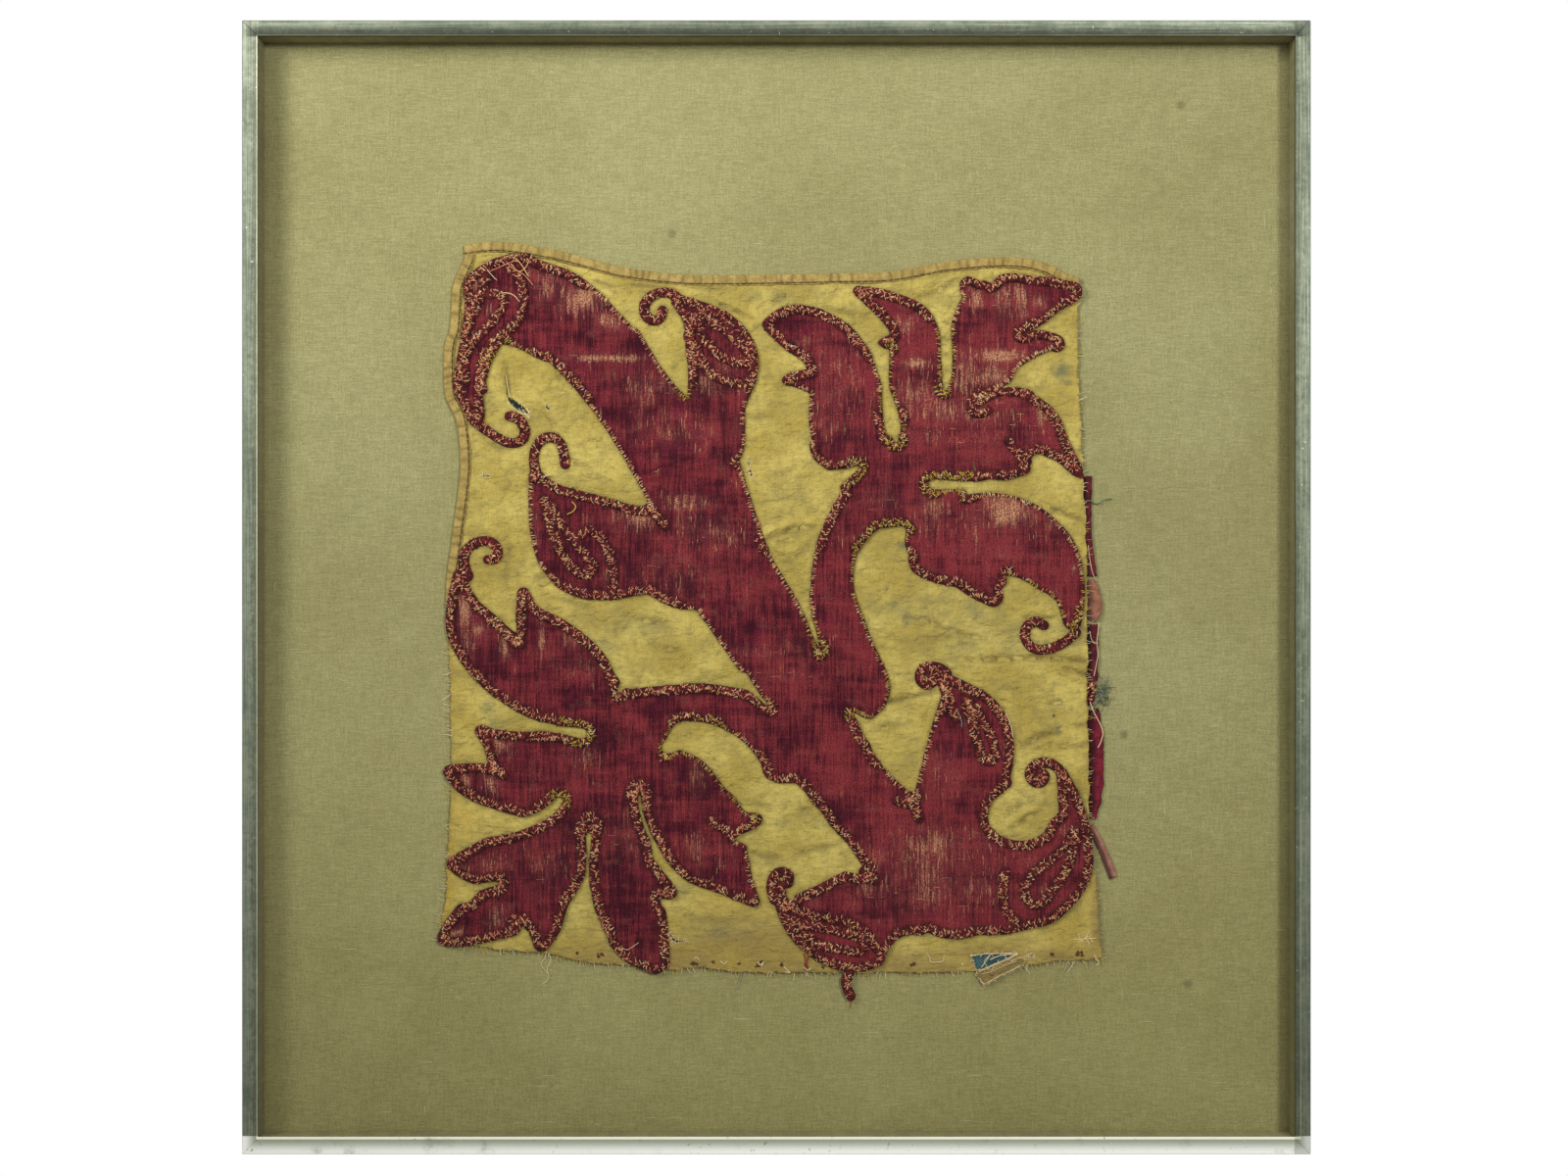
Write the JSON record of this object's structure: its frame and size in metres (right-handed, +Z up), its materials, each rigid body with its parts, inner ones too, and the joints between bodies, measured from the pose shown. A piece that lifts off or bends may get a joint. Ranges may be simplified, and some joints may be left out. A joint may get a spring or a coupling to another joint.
{
  "type": "framed applique tapestry in a metal frame",
  "caption": "Square fragment of gold silk with burgundy velvet leaves and couched cord, mounted on olive linen in a deep glazed metal frame that hangs on a wall.",
  "frame": {"origin": "on the back face of the top rail, at the middle of its length, where the frame meets the wall", "axes": "+Y back into the wall, +Z up, +X to the viewer's right"},
  "size_m": [0.818, 0.045, 0.868],
  "materials": {
    "aged_metal": "aged, brushed, grey-green",
    "clear_sheet": "clear, polished",
    "linen": "plain slubbed weave, olive",
    "board": "plain fibreboard",
    "silk": "worn satin, old gold",
    "velvet": "worn pile, burgundy",
    "cord": "twisted, flecked red and gold",
    "binding": "plain bias tape, tan",
    "lining": "plain weave, teal",
    "tape": "plain tape, salmon"
  },
  "bodies": {
    "root": {"rail_top": "aged_metal", "rail_bottom": "aged_metal", "rail_left": "aged_metal", "rail_right": "aged_metal", "spacer_top": "linen", "spacer_bottom": "linen", "spacer_left": "linen", "spacer_right": "linen", "linen_mount": "linen", "glazing": "clear_sheet", "backing_board": "board", "ground_cloth": "silk", "velvet_applique": "velvet", "velvet_strip_upper": "velvet", "velvet_strip_middle": "velvet", "velvet_strip_lower": "velvet", "cord_outline": "cord", "cord_hook_outer": "cord", "cord_hook_inner": "cord", "cord_north_outer": "cord", "cord_north_inner": "cord", "cord_west_inner": "cord", "cord_west_outer": "cord", "cord_south_inner": "cord", "cord_east_outer": "cord", "cord_east_inner": "cord", "cord_foot_outer": "cord", "cord_foot_inner": "cord", "binding_top": "binding", "binding_left": "binding", "lining_scrap": "lining", "tape_middle": "tape", "tape_tail": "tape"}
  },
  "joints": []
}
